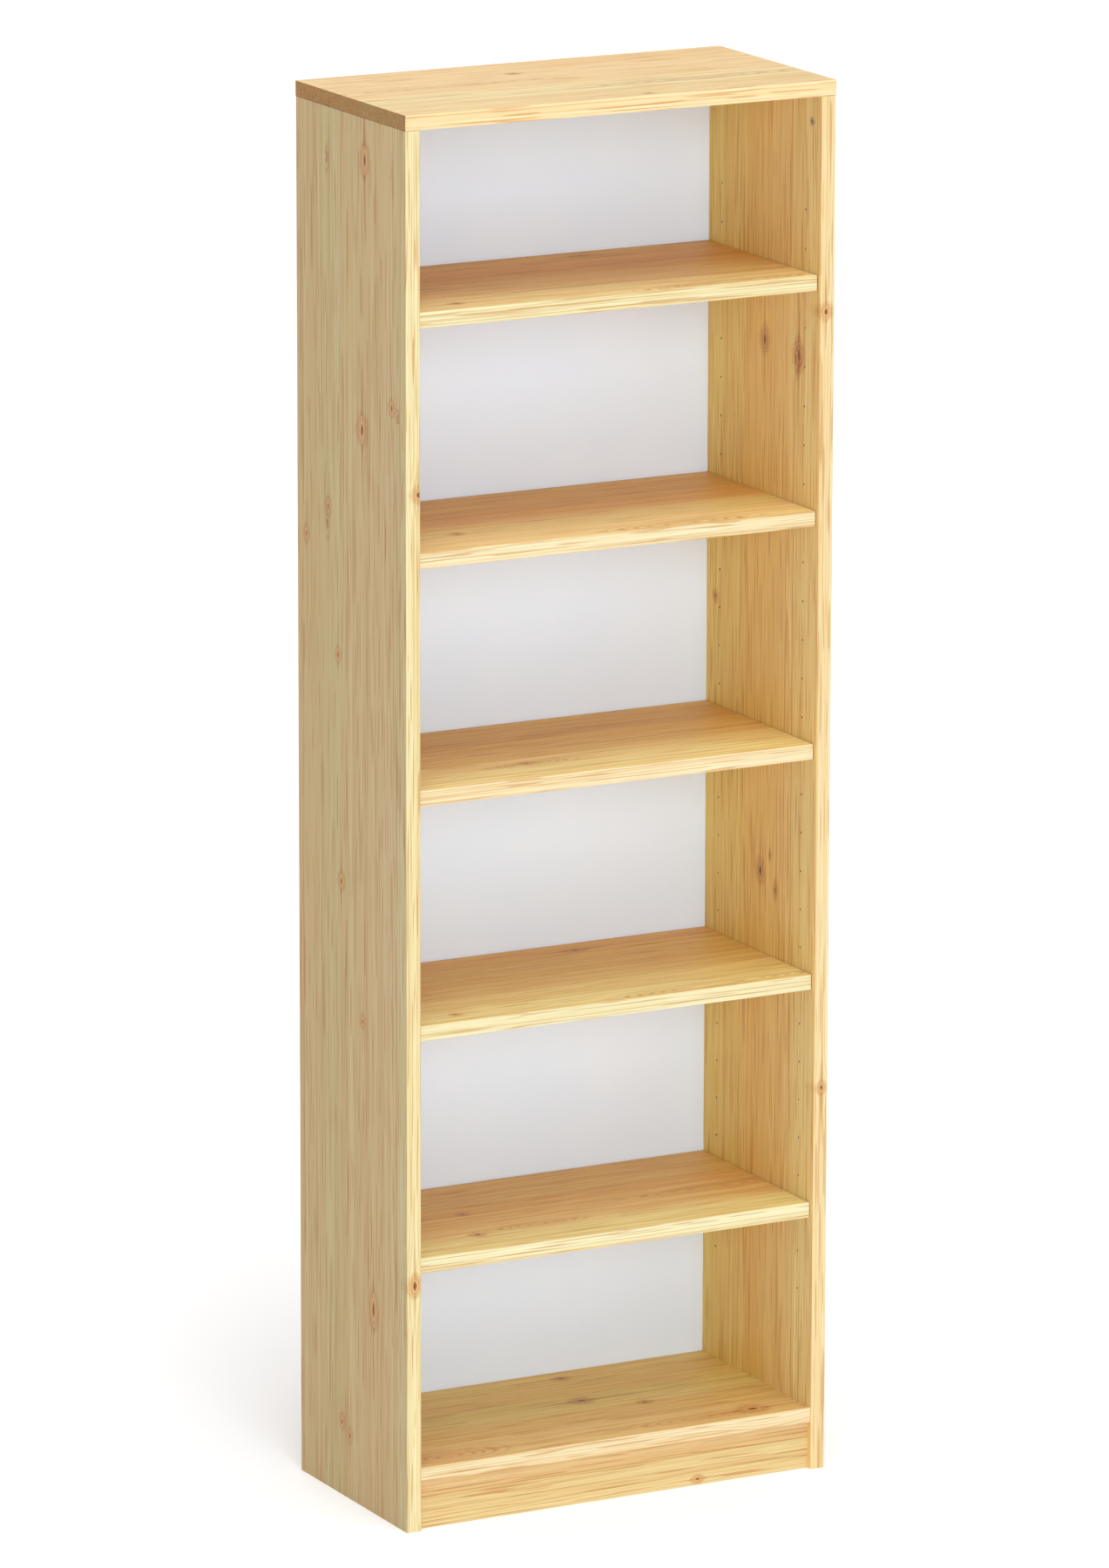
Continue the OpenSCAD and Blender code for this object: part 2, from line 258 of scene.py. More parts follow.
def flame_group():
    """Rings that hump up under the face and show there as nested flames. A hump is e to the minus
    squared distance from its centre in its own half sizes, and is added to those before it."""
    tree, start, end = new_group("flame", ["place:V", "humps:F", "centre:V", "half:V"], ["humps:F"])
    place, humps, centre, half = start.outputs[:4]
    scaled = vector(tree, "DIVIDE", vector(tree, "SUBTRACT", place, centre), half)
    square = calc(tree, "MULTIPLY", vector(tree, "DOT_PRODUCT", scaled, scaled), -1.0)
    fill(tree, end.inputs[0], calc(tree, "ADD", calc(tree, "EXPONENT", square), humps))
    return tree


def streak_group():
    """Distance to a resin streak in its own half sizes, and the least of these so far."""
    tree, start, end = new_group("streak", ["place:V", "nearest:F", "centre:V", "half:V"], ["nearest:F"])
    place, nearest, centre, half = start.outputs[:4]
    scaled = vector(tree, "DIVIDE", vector(tree, "SUBTRACT", place, centre), half)
    fill(tree, end.inputs[0], calc(tree, "MINIMUM", vector(tree, "LENGTH", scaled), nearest))
    return tree


KNOT, FLAME, STREAK = knot_group(), flame_group(), streak_group()
print("groups have", [len(group.nodes) for group in (KNOT, FLAME, STREAK)], "nodes")

# %% [markdown]
# ## Along, across and through
#
# A shelf's grain runs along X and a side's along Z, so the coordinates are first put in the board's
# own order. Everything after that thinks in along, across and through, and one material serves
# every board. Turning the coordinates with a Mapping node would do the same with less to read
# later on, but it needs angles where here three letters are enough.

# %% Where a point lies in its board
GRAIN_ALONG = {"X": ("X", "Y", "Z"), "Z": ("Z", "Y", "X"), "plinth": ("X", "Z", "Y")}


def board_place(tree, axes):
    """A point and the way its surface faces, both reordered: along the grain, across the board and
    through its thickness."""
    coordinates = add(tree, "TexCoord")
    split = add(tree, "SeparateXYZ", coordinates.outputs["Object"])
    facing = add(tree, "SeparateXYZ", coordinates.outputs["Normal"])
    place = add(tree, "CombineXYZ", *(split.outputs[a] for a in axes)).outputs[0]
    return place, [facing.outputs[a] for a in axes]


def grain_noise(tree, place, lengthwise, crosswise, detail, roughness=0.5):
    """Noise drawn out along the grain, with so many waves per metre lengthwise and crosswise."""
    stretched = vector(tree, "MULTIPLY", place, (lengthwise, crosswise, crosswise))
    return noise(tree, stretched, 1.0, detail, roughness)


def contour(tree, height, start, full, fall):
    """A dark line at each whole number of height. The fraction of the height rises from start to
    full, and falls from fall to the whole number."""
    part = calc(tree, "FRACT", height)
    return calc(tree, "MULTIPLY", ramp(tree, part, start, full), ramp(tree, part, 1.0, fall))


def metres(lengths):
    """Lengths in millimetres turned into metres."""
    return [length / 1000 for length in lengths]


def call(tree, group, *values):
    """Adds a node of the group, fills its sockets in order and gives its outputs."""
    made = tree.nodes.new("ShaderNodeGroup")
    made.node_tree = group
    for socket, value in zip(made.inputs, values):
        fill(tree, socket, value)
    return made.outputs


print("the grain can run along", sorted({axes[0] for axes in GRAIN_ALONG.values()}))

# %% [markdown]
# ## From knot to knot
#
# A board has several knots, and each is one more node of the knot group: the place that comes out
# of one goes into the next. A knot on a face is a branch sawn across, and one on the front edge is
# the same branch seen from the side. Streaks and flames are passed through in the same way.

# %% The knots, flames and streaks of a board, in millimetres
FAR_OFF = 9.0
RIGHT_THROUGH = 300.0
FRONT_EDGE = -150.0
EDGE_KNOT_DEPTH = 16.0
KNOT_PUSH = 0.92


def through_knots(tree, place, wobble, knots, mid):
    """Passes the place through every knot (kind, along, across, radius, stretch). A face knot runs
    through the board's thickness, and an edge knot runs in from its front edge."""
    nearest = tail = FAR_OFF
    for kind, along, across, radius, stretch in knots:
        centre, half = (along, across, mid), (radius * stretch, radius, RIGHT_THROUGH)
        push = (0, KNOT_PUSH, 0)
        if kind == "edge":
            centre, half = (along, FRONT_EDGE, across), (radius * stretch, EDGE_KNOT_DEPTH, radius)
            push = (0, 0, KNOT_PUSH)
        outputs = call(tree, KNOT, place, nearest, tail, wobble, metres(centre), metres(half), push)
        place, nearest, tail = outputs[:3]
    return place, nearest, tail


def through_patches(tree, group, value, place, patches, mid):
    """Passes a value through the group for every patch (along, across, half length, half width). A
    patch runs through the board's thickness."""
    for along, across, half_length, half_width in patches:
        centre = metres((along, across, mid))
        half = metres((half_length, half_width, RIGHT_THROUGH))
        value = call(tree, group, place, value, centre, half)[0]
    return value


print("an edge knot reaches", EDGE_KNOT_DEPTH, "mm into the board")

# %% [markdown]
# ## Year rings
#
# A Wave texture draws rings too, but all of them equally wide and equally dark. Real years differ,
# as dry summers leave thin rings and wet ones wide rings. So the distance from the heart is made a
# little uneven, and every year gets its own strength from its number.

# %% Year rings
RING_WIDTH = 0.0026
FIRST_STAVE, STAVES_PER_SEED = 50.37, 3.0
HEART_ASIDE = 1.3
MOST_LEAN = 0.015
HEART_BELOW, BELOW_SPREAD = 0.022, 0.085
SWAY_ASIDE, SWAY_BELOW = 0.022, -0.018
UNEVEN_WAVES, UNEVEN_RINGS = 95.0, 2.2
WEAKEST_YEAR = 0.2


def ring_lines(tree, place, seed, stave, mid):
    """Dark share of the year rings, and three random numbers of the stave. The heart lies a random
    way aside and below, leans and sways. The year is the distance from it over the ring width, made
    uneven by noise, and each year's line has its own random strength."""
    along, across, through = add(tree, "SeparateXYZ", place).outputs
    count = calc(tree, "MULTIPLY_ADD", across, 1 / stave, FIRST_STAVE + STAVES_PER_SEED * seed)
    random = add(tree, "TexWhiteNoise", None, calc(tree, "FLOOR", count), noise_dimensions="1D")
    lot = add(tree, "SeparateXYZ", random.outputs["Color"]).outputs
    aside = calc(tree, "SUBTRACT", calc(tree, "FRACT", count), lot[0])
    lean = calc(tree, "MULTIPLY_ADD", lot[1], 2 * MOST_LEAN, -MOST_LEAN)
    side = calc(tree, "MULTIPLY", aside, stave * HEART_ASIDE)
    side = calc(tree, "ADD", side, calc(tree, "MULTIPLY", along, lean))
    depth = calc(tree, "MULTIPLY_ADD", lot[2], BELOW_SPREAD, HEART_BELOW)
    depth = calc(tree, "ADD", depth, calc(tree, "SUBTRACT", through, mid / 1000))
    sway = grain_noise(tree, place, 1.1, 9.0, 2.0)
    side = calc(tree, "MULTIPLY_ADD", sway, SWAY_ASIDE, side)
    depth = calc(tree, "MULTIPLY_ADD", sway, SWAY_BELOW, depth)
    squares = [calc(tree, "MULTIPLY", part, part) for part in (side, depth)]
    heart = calc(tree, "SQRT", calc(tree, "ADD", *squares))
    uneven = add(tree, "TexNoise", None, calc(tree, "ADD", heart, lot[1]), noise_dimensions="1D")
    uneven.inputs["Scale"].default_value = UNEVEN_WAVES
    uneven.inputs["Detail"].default_value = 1.0
    years = calc(tree, "MULTIPLY", heart, 1 / RING_WIDTH)
    years = calc(tree, "MULTIPLY_ADD", uneven.outputs["Fac"], UNEVEN_RINGS, years)
    force = add(tree, "TexWhiteNoise", None, calc(tree, "FLOOR", years), noise_dimensions="1D")
    force = ramp(tree, force.outputs["Value"], 0.2, 1.0, WEAKEST_YEAR, 1.0)
    return calc(tree, "MULTIPLY", contour(tree, years, 0.35, 0.95, 0.94), force), lot


print("year rings are", RING_WIDTH * 1000, "mm wide")

# %% [markdown]
# ## The colours of pine
#
# Fresh pine is almost white between its lines and honey brown on them. Besides the rings it shows
# pale and dark bands, fine fibre, and short dashes and long veins where resin canals are cut open.
# Colour ramps would do for one of these, but every layer here has its own direction and share, so
# each is mixed over the one below.

# %% Plain pine
EARLY_WOOD, LATE_WOOD = "#fbf7e8", "#cd9a5e"
RED_TINT, GREY_TINT = "#fdead3", "#fbf4de"
DARK_BAND, PALE_BAND = "#f6e4c4", "#fffdf8"
DASH, VEIN, DARK_FIBRE, WHITE = "#cf9450", "#c4803c", "#efe4d2", "#ffffff"
RING_SHARE, TINT_SHARE, BAND_SHARE = 0.55, 0.9, 0.6
DASH_SHARE, VEIN_SHARE, FIBRE_SHARE = 0.6, 0.36, 0.6
# Across the board, the painted light and shade on the broad faces turns from front tone to back tone
# here.
FRONT_TONE_AT, BACK_TONE_AT = -0.13, 0.04


def plain_pine(tree, moved, rings, lot, fibre):
    """Early wood with the rings in late wood, and over it the stave's tint, the bands, the dashes,
    the veins and the fibre, each by its share."""
    wood = mix(tree, calc(tree, "MULTIPLY", rings, RING_SHARE), paint(EARLY_WOOD), paint(LATE_WOOD))
    tint = mix(tree, ramp(tree, lot[0], 0.25, 0.75), paint(RED_TINT), paint(GREY_TINT))
    wood = mix(tree, TINT_SHARE, wood, tint, "MULTIPLY")
    band = ramp(tree, grain_noise(tree, moved, 0.7, 95.0, 2.0), 0.3, 0.65)
    wood = mix(tree, BAND_SHARE, wood, mix(tree, band, paint(DARK_BAND), paint(PALE_BAND)), "MULTIPLY")
    dash = ramp(tree, grain_noise(tree, moved, 11.0, 480.0, 0.0), 0.62, 0.70)
    wood = mix(tree, calc(tree, "MULTIPLY", dash, DASH_SHARE), wood, paint(DASH))
    vein = ramp(tree, grain_noise(tree, moved, 1.5, 400.0, 1.0), 0.61, 0.68)
    wood = mix(tree, calc(tree, "MULTIPLY", vein, VEIN_SHARE), wood, paint(VEIN))
    threads = mix(tree, ramp(tree, fibre, 0.3, 0.7), paint(DARK_FIBRE), paint(WHITE))
    return mix(tree, FIBRE_SHARE, wood, threads, "MULTIPLY")


def paint_edge_shade(tree, wood, facing, edges):
    """Paints shade over the board's long edges, a little darker and paler than the faces."""
    on_edge = ramp(tree, calc(tree, "ABSOLUTE", facing), 0.5, 0.95)
    return mix(tree, on_edge, wood, mix(tree, 1.0, wood, paint(edges), "MULTIPLY"))


def paint_face_shading(tree, wood, place, facing, faces):
    """Paints light and shade over each broad face: one tone at the front of the board, another towards
    its back.
    """
    across = add(tree, "SeparateXYZ", place).outputs[1]
    backwards = ramp(tree, across, FRONT_TONE_AT, BACK_TONE_AT)
    for sign, (front, back) in zip((-1.0, 1.0), faces):
        turned = ramp(tree, calc(tree, "MULTIPLY", facing, sign), 0.5, 0.95)
        tone = mix(tree, backwards, paint(front), paint(back))
        wood = mix(tree, turned, wood, mix(tree, 1.0, wood, tone, "MULTIPLY"))
    return wood


print("rings take", RING_SHARE, "and fibre", FIBRE_SHARE, "of their full strength")

# %% [markdown]
# ## Flames, resin and knots
#
# Where the saw runs along a ring instead of across it, the line opens into nested flames. Resin
# shows as thin amber streaks, and small rust flecks lie where a twig was grown over. A knot is
# darker than the wood round it, has rings of its own and a nearly black heart, and glows a little
# at its rim. They are drawn last, so that the rings below end at them.

# %% Marks in the wood
FLAMED, RUST, RESIN = "#bd7c3a", "#a05f30", "#c07c34"
KNOT_HEART, KNOT_WOOD, KNOT_RIM, KNOT_GLOW = "#5e3617", "#dba76a", "#8f562a", "#ecc690"
FLAME_RINGS, FLAME_WOBBLE = 5.0, 1.2
KNOT_RINGS = 2.5


def draw_flames(tree, wood, humps, wobble, facing):
    """Contour lines of the humps, in rings, on the broad faces only. They fade at a hump's foot."""
    height = calc(tree, "MULTIPLY_ADD", humps, FLAME_RINGS, calc(tree, "MULTIPLY", wobble, FLAME_WOBBLE))
    line = contour(tree, height, 0.3, 0.85, 0.88)
    line = calc(tree, "MULTIPLY", line, ramp(tree, humps, 0.04, 0.25, 0.0, 0.7))
    broad = ramp(tree, calc(tree, "ABSOLUTE", facing), 0.6, 0.95)
    return mix(tree, calc(tree, "MULTIPLY", line, broad), wood, paint(FLAMED))


def draw_streaks(tree, wood, reach, fibre):
    """Resin that fades to the streak's rim and is broken up by the fibre."""
    resin = calc(tree, "MULTIPLY", ramp(tree, reach, 1.0, 0.3), ramp(tree, fibre, 0.25, 0.6))
    return mix(tree, calc(tree, "MULTIPLY", resin, 0.8), wood, paint(RESIN))


def draw_knots(tree, wood, reach, tail):
    """Resin in the thin tails, the glow, the knot's own wood, its rings and its heart."""
    wood = mix(tree, ramp(tree, tail, 1.0, 0.1, 0.0, 0.6), wood, paint(RESIN), "MULTIPLY")
    near = ramp(tree, reach, 2.4, 0.7)
    wood = mix(tree, calc(tree, "MULTIPLY", near, 0.5), wood, paint(KNOT_GLOW), "MULTIPLY")
    wood = mix(tree, ramp(tree, reach, 1.1, 0.85, 0.0, 0.75), wood, paint(KNOT_WOOD))
    line = contour(tree, calc(tree, "MULTIPLY", reach, KNOT_RINGS), 0.5, 0.9, 0.92)
    line = calc(tree, "MULTIPLY", calc(tree, "MULTIPLY", line, near), 0.75)
    wood = mix(tree, line, wood, paint(KNOT_RIM))
    return mix(tree, ramp(tree, reach, 0.38, 0.16, 0.0, 0.9), wood, paint(KNOT_HEART))


def draw_feathers(tree, wood, reach, moved):
    """Short rust flecks that thin out to the patch's rim."""
    fleck = ramp(tree, grain_noise(tree, moved, 130.0, 420.0, 1.0), 0.48, 0.58)
    fleck = calc(tree, "MULTIPLY", fleck, ramp(tree, reach, 1.0, 0.35, 0.0, 0.85))
    return mix(tree, fleck, wood, paint(RUST))


print("a knot has", KNOT_RINGS, "rings in each of its half sizes")

# %% [markdown]
# ## Sawn ends and drilled holes
#
# On a sawn end the fibres are cut across and drink the light, so it looks darker and duller than a
# face. The walls of a pin hole are rough and lie in shade, and painted shade inside the board
# brings them out even where soft light would wash them away.

# %% Ends and holes
# The third colour is painted shade for the walls of holes and grooves inside the board.
END_DARK, END_PALE, HOLE_PAINTED_SHADE = "#94764c", "#ab8c5c", "#3a2210"
END_SHARE, HOLE_SHADE_SHARE = 0.85, 0.9
FACE_SKIN = (0.0094, 0.009)
EDGE_SKIN = (0.148, 0.147)


def draw_end_grain(tree, wood, moved, on_end):
    """Cut pores on the sawn ends."""
    pores = ramp(tree, grain_noise(tree, moved, 900.0, 1300.0, 1.0), 0.35, 0.65)
    pores = mix(tree, pores, paint(END_DARK), paint(END_PALE))
    return mix(tree, on_end, wood, mix(tree, END_SHARE, wood, pores, "MULTIPLY"))


def paint_hole_shade(tree, wood, place, mid):
    """Paints shade on what lies inside the board: further in than the skin of its faces and of its
    edges.
    """
    parts = add(tree, "SeparateXYZ", place).outputs
    inset = calc(tree, "ABSOLUTE", calc(tree, "SUBTRACT", parts[2], mid / 1000))
    inside = ramp(tree, inset, *FACE_SKIN)
    inside = calc(tree, "MULTIPLY", inside, ramp(tree, calc(tree, "ABSOLUTE", parts[1]), *EDGE_SKIN))
    return mix(tree, calc(tree, "MULTIPLY", inside, HOLE_SHADE_SHARE), wood, paint(HOLE_PAINTED_SHADE), "MULTIPLY")


print("a hole is dark within", FACE_SKIN[1] * 1000, "mm of the middle of its board")

# %% [markdown]
# ## The pine material
#
# One function lays the layers over each other, in the order in which they were told, and a board
# only has to say what it has: knots, streaks, flames or feathers. Planed pine is smooth but not
# shiny, a little smoother on the hard lines than between them, and roughest on its sawn ends. The
# fibre and the rings also raise the surface by less than half a millimetre.

# %% The pine material
# Painted shade: the long edges are made a little darker and paler than the broad faces.
EDGE_PAINTED_SHADE = "#f0f4e8"
SEED_STEP = (3.17, 0.71, 0.37)
LEAST_WOBBLE, WOBBLE_RANGE = 0.65, 0.7
SMOOTHEST, FIBRE_ROUGH, RING_ROUGH, END_ROUGH = 0.42, 0.22, -0.08, 0.25
RELIEF_SHARE, RELIEF = 0.35, 0.0004


def pine(name, grain, seed, mid=0.0, knots=(), streaks=(), flames=(), feathers=(), stave=0.058,
         tone=WHITE, faces=(), edges=EDGE_PAINTED_SHADE, bored=False):
    """Pine for one board. grain names the way it runs and seed the board's own chance. mid is the
    middle of its thickness in mm, tone is laid over all of it, faces are painted light and shade on
    its two broad faces, from front to back, and edges is painted shade on its long edges. Feathers
    are patches of short rust flecks. A bored board gets painted shade in its holes and groove."""
    made, tree, shader = new_material(name)
    place, (end_facing, edge_facing, face_facing) = board_place(tree, GRAIN_ALONG[grain])
    moved = vector(tree, "ADD", place, [step * seed for step in SEED_STEP])
    wobble = grain_noise(tree, moved, 60.0, 110.0, 2.0)
    wobble = calc(tree, "MULTIPLY_ADD", wobble, WOBBLE_RANGE, LEAST_WOBBLE)
    bent, knot_reach, tail_reach = through_knots(tree, place, wobble, knots, mid)
    rings, lot = ring_lines(tree, bent, seed, stave, mid)
    fibre = grain_noise(tree, moved, 14.0, 700.0, 3.0, 0.6)

    wood = mix(tree, 1.0, plain_pine(tree, moved, rings, lot, fibre), paint(tone), "MULTIPLY")
    if faces:
        wood = paint_face_shading(tree, wood, place, face_facing, faces)
    wood = paint_edge_shade(tree, wood, edge_facing, edges)
    if flames:
        humps = through_patches(tree, FLAME, 0.0, place, flames, mid)
        wood = draw_flames(tree, wood, humps, wobble, face_facing)
    if streaks:
        reach = through_patches(tree, STREAK, FAR_OFF, place, streaks, mid)
        wood = draw_streaks(tree, wood, reach, fibre)
    if knots:
        wood = draw_knots(tree, wood, knot_reach, tail_reach)
    if feathers:
        reach = through_patches(tree, STREAK, FAR_OFF, place, feathers, mid)
        wood = draw_feathers(tree, wood, reach, moved)
    on_end = ramp(tree, calc(tree, "ABSOLUTE", end_facing), 0.6, 0.9)
    wood = draw_end_grain(tree, wood, moved, on_end)
    if bored:
        wood = paint_hole_shade(tree, wood, place, mid)
    fill(tree, shader.inputs["Base Color"], wood)

    rough = calc(tree, "MULTIPLY_ADD", fibre, FIBRE_ROUGH, SMOOTHEST)
    rough = calc(tree, "MULTIPLY_ADD", rings, RING_ROUGH, rough)
    fill(tree, shader.inputs["Roughness"], calc(tree, "MULTIPLY_ADD", on_end, END_ROUGH, rough))
    shader.inputs["Specular IOR Level"].default_value = 0.35
    height = calc(tree, "MULTIPLY_ADD", fibre, 0.6, calc(tree, "MULTIPLY", rings, 0.4))
    bump = add(tree, "Bump", RELIEF_SHARE, RELIEF)
    fill(tree, bump.inputs["Height"], height)
    fill(tree, shader.inputs["Normal"], bump.outputs[0])
    return made


def dress(node, material):
    """Gives one CAD node a material of its own; its mesh stays as it is."""
    slots = nodes[node].data.materials
    slots.clear()
    slots.append(material)
    print(node, "wears", material.name, "with", len(material.node_tree.nodes), "nodes")


# %% [markdown]
# ## The boards
#
# Each board gets its own copy of the pine, with its own seed and its own knots. The knots are
# few and lie where they catch the eye, so they are listed one by one, in millimetres. The material
# could also scatter them at random, but then none would sit where a joiner would notice it.

# %% The two sides
def middle(node, axis):
    """The middle of a node's box along one axis, in millimetres: half the sum of its two ends."""
    low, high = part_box(node)
    return round((low[axis] + high[axis]) / 2 * 1000, 1)


ACROSS_CASE, FRONT_TO_BACK, UPWARDS = 0, 1, 2
dress("left_side", pine(
    "pine_left_side", "Z", 1, middle("left_side", ACROSS_CASE), bored=True,
    stave=0.052, tone="#fffaf0",
    # Painted light and shade: the outer face is greyer, as in shade, and the inner face warmer.
    faces=(("#d2d1c2", "#cfcdbc"), ("#fff4d0", "#ffecbc")),
    feathers=[(1718, 62, 34, 9), (1420, -128, 26, 6), (1250, 66, 30, 5)],
    knots=[
        ("face", 1728, -40, 9, 2.0), ("face", 1390, -31, 9, 2.0),
        ("face", 1432, -112, 6, 1.6), ("face", 1277, 63, 5, 2.2), ("face", 1232, 124, 5, 2.0),
        ("face", 1093, 37, 5, 1.8), ("face", 804, 30, 6, 1.8), ("face", 636, -29, 5, 1.6),
        ("face", 268, -57, 9, 2.6), ("face", 97, 32, 5, 2.0), ("face", 84, 10, 4, 2.4),
        ("edge", 1329, -283, 7, 1.3), ("edge", 322, -289, 7, 1.8),
    ],
    streaks=[(1760, -38, 40, 2), (1440, -31, 50, 2), (1400, -140, 25, 2), (60, 10, 30, 2)],
))
dress("right_side", pine(
    "pine_right_side", "Z", 2, middle("right_side", ACROSS_CASE), bored=True,
    stave=0.060, tone="#fffaf0",
    # Painted light: the inner face is a little warmer than the outer one, most of all towards the back.
    faces=(("#fffad8", "#fff5b2"), ("#ffffff", "#fffaf0")), feathers=[(1440, -93, 36, 12)],
    knots=[
        ("face", 1450, -8, 8, 2.0), ("face", 1444, -96, 10, 1.8), ("face", 760, -6, 8, 1.8),
        ("face", 785, -30, 3, 2.4), ("face", 742, -46, 4, 3.0),
        ("face", 1095, 117, 5, 1.4), ("edge", 1508, 288, 7, 1.4), ("edge", 506, 291, 6, 1.3),
    ],
    streaks=[(900, -66, 860, 1.2), (900, -84, 860, 1.2)],
))

# %% The top, the bottom shelf and the plinth
dress("top_panel", pine(
    "pine_top", "X", 3, middle("top_panel", UPWARDS),
    # Painted shade on its long edges, fainter than on the other boards.
    stave=0.060, tone="#fff8e0", edges="#f8fbff",
    flames=[(150, -60, 120, 8), (-150, 20, 110, 6)],
    knots=[("face", -38, 70, 5, 2.0), ("face", 42, -138, 3, 3.0)],
))
dress("bottom_shelf", pine(
    "pine_bottom_shelf", "X", 4, middle("bottom_shelf", UPWARDS), stave=0.060,
    flames=[(-225, -118, 60, 20), (130, -120, 70, 12)],
    # Painted light and shade: both broad faces are darker and greyer at the front, and lighter and
    # warmer towards the back.
    faces=(("#e6daac", "#fff8b6"), ("#e6daac", "#fff8b6")),
    knots=[
        ("face", 56, 112, 6, 1.8), ("face", 34, 14, 9, 1.6), ("face", 104, -28, 6, 1.6),
        ("face", 212, -118, 12, 1.4), ("face", 277, -130, 2, 1.0),
    ],
))
dress("plinth", pine(
    "pine_plinth", "plinth", 5, middle("plinth", FRONT_TO_BACK),
    stave=0.070, tone="#e6d8b6", knots=[("face", 120, 8, 4, 2.0)],
))

# %% The five adjustable shelves
SHELF_KNOTS = {
    1: [("face", -209, -108, 6, 1.5), ("face", 79, 112, 6, 1.5)],
    2: [("face", -184, -61, 6, 1.5)],
    3: [("face", -91, -69, 6, 1.6)],
    4: [("face", -212, -111, 5, 1.5), ("face", 71, 105, 6, 2.4)],
    5: [("face", -139, 12, 5, 1.6), ("face", -164, -79, 7, 1.4)],
}
# Painted light and shade: each shelf is pale at the front of its faces, and darker and more orange
# towards the back, inside the case.
SHELF_PAINTED_SHADE = {
    1: ("#fffdd2", "#efc47c"), 2: ("#fffdd2", "#f3cc82"), 3: ("#fefacc", "#f6d28a"),
    4: ("#f7f4c4", "#f8d892"), 5: ("#f2eec0", "#fadea0"),
}
SHELF_FLAMES = {
    1: [(110, -133, 60, 10), (190, -128, 70, 9)], 2: [(95, -130, 80, 12)],
    3: [(-85, -72, 45, 9), (20, -148, 30, 5)], 4: [(95, -133, 70, 12), (190, -126, 80, 10)],
    5: [(-75, -70, 50, 10), (200, -20, 90, 9)],
}
for number, knots in SHELF_KNOTS.items():
    name = f"shelf_{number}"
    dress(name, pine(
        "pine_" + name, "X", 5 + number, middle(name, UPWARDS),
        knots=knots, flames=SHELF_FLAMES[number],
        faces=(SHELF_PAINTED_SHADE[number], SHELF_PAINTED_SHADE[number]),
    ))

# %% [markdown]
# ## The white back panel
#
# The back is a sheet of 3 mm hardboard: white lacquer on the face that shows between the shelves,
# and bare brown board behind. Two materials on two halves of the mesh would do, but the mesh stays
# as it is. One material can do both, because the way a face looks tells which side it is on.

# %% Hardboard
LACQUER_COOL, LACQUER_PALE = "#e8f4ff", "#ecf6ff"
PRESSED_DARK, PRESSED_PALE, PRESSED_CLOUD = "#9a7247", "#c9a06c", "#c9b299"


def hardboard():
    """White lacquer where the surface faces the front, and brown pressed fibre elsewhere."""
    made, tree, shader = new_material("white_hardboard")
    coordinates = add(tree, "TexCoord")
    facing = add(tree, "SeparateXYZ", coordinates.outputs["Normal"]).outputs["Y"]
    front = ramp(tree, facing, -0.2, -0.6)
    place = coordinates.outputs["Object"]
    cloud = noise(tree, place, 6.0, 3.0)
    peel = noise(tree, place, 900.0, 2.0)
    fleck = noise(tree, vector(tree, "MULTIPLY", place, (500.0, 500.0, 160.0)), 1.0, 4.0, 0.7)
    white = mix(tree, ramp(tree, cloud, 0.3, 0.7), paint(LACQUER_COOL), paint(LACQUER_PALE))
    brown = mix(tree, ramp(tree, fleck, 0.3, 0.7), paint(PRESSED_DARK), paint(PRESSED_PALE))
    shade = mix(tree, cloud, paint(PRESSED_CLOUD), paint(WHITE))
    brown = mix(tree, 0.4, brown, shade, "MULTIPLY")
    fill(tree, shader.inputs["Base Color"], mix(tree, front, brown, white))
    fill(tree, shader.inputs["Roughness"], calc(tree, "MULTIPLY_ADD", front, -0.35, 0.8))
    bump = add(tree, "Bump", 0.3, 0.0003)
    fill(tree, bump.inputs["Height"], mix(tree, front, fleck, calc(tree, "MULTIPLY", peel, 0.3)))
    fill(tree, shader.inputs["Normal"], bump.outputs[0])
    return made


dress("back_panel", hardboard())

# %% [markdown]
# ## Metal and dowels
#
# The pins and bolts are drawn steel with a thin nickel plate, the cams are cast zinc, and the
# dowels are beech, whose small dark flecks set it apart from pine. Most of them are hidden, and a
# plain grey would pass, but a pin that is drawn out or a cam on the inside of a side is seen close.

# %% Metal and beech
BEECH_PALE, BEECH_FLECK = "#dcbb8d", "#b98d5e"


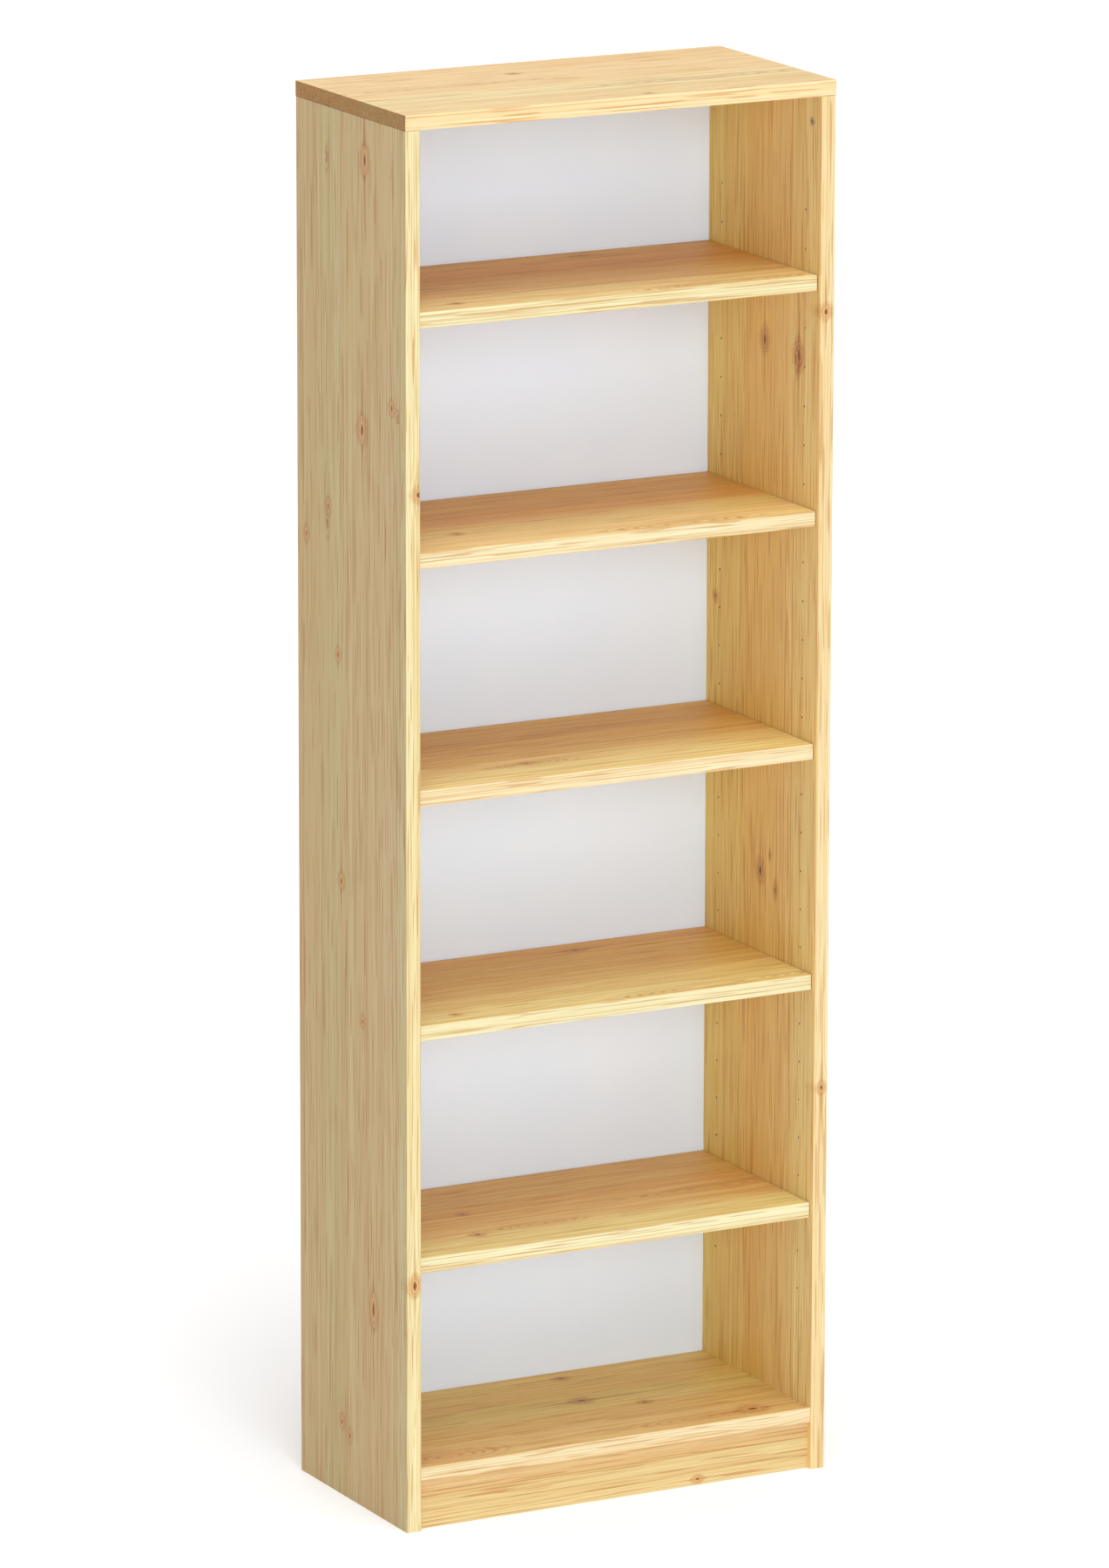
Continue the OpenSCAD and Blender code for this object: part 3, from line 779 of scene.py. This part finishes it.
def metal(name, dark, light, rough, grain, metallic=1.0):
    """Two tones mixed by fine scratches, with rougher and smoother patches. grain is the number of
    scratches per metre each way."""
    made, tree, shader = new_material(name)
    place = add(tree, "TexCoord").outputs["Object"]
    scratch = noise(tree, vector(tree, "MULTIPLY", place, grain), 1.0, 3.0, 0.6)
    patch = noise(tree, place, 240.0, 2.0)
    fill(tree, shader.inputs["Base Color"], mix(tree, scratch, paint(dark), paint(light)))
    shader.inputs["Metallic"].default_value = metallic
    fill(tree, shader.inputs["Roughness"], calc(tree, "MULTIPLY_ADD", patch, 0.25, rough))
    bump = add(tree, "Bump", 0.2, 0.0001)
    fill(tree, bump.inputs["Height"], scratch)
    fill(tree, shader.inputs["Normal"], bump.outputs[0])
    return made


def beech():
    """Pale pinkish wood with small darker flecks."""
    made, tree, shader = new_material("beech")
    place = add(tree, "TexCoord").outputs["Object"]
    fleck = noise(tree, vector(tree, "MULTIPLY", place, (700.0, 700.0, 700.0)), 1.0, 2.0)
    colour = mix(tree, ramp(tree, fleck, 0.45, 0.7), paint(BEECH_PALE), paint(BEECH_FLECK))
    fill(tree, shader.inputs["Base Color"], colour)
    fill(tree, shader.inputs["Roughness"], calc(tree, "MULTIPLY_ADD", fleck, 0.2, 0.5))
    bump = add(tree, "Bump", 0.3, 0.0002)
    fill(tree, bump.inputs["Height"], fleck)
    fill(tree, shader.inputs["Normal"], bump.outputs[0])
    return made


steel_pin = metal("steel_pin", "#9d9c99", "#c9c8c4", 0.22, (300.0, 1500.0, 1500.0))
steel_fitting = metal("steel_fitting", "#8f9094", "#bdbec2", 0.28, (1500.0, 1500.0, 1500.0))
zinc_cam = metal("zinc_cam", "#b59c74", "#d3bd96", 0.45, (900.0, 900.0, 900.0), 0.5)
dowel_wood = beech()

# %% Pins, bolts, nails, cams and dowels
for name in nodes:
    if name.startswith("pin_"):
        dress(name, steel_pin)
    elif "bolts" in name or "nails" in name:
        dress(name, steel_fitting)
    elif "cams" in name:
        dress(name, zinc_cam)
    elif "dowels" in name:
        dress(name, dowel_wood)
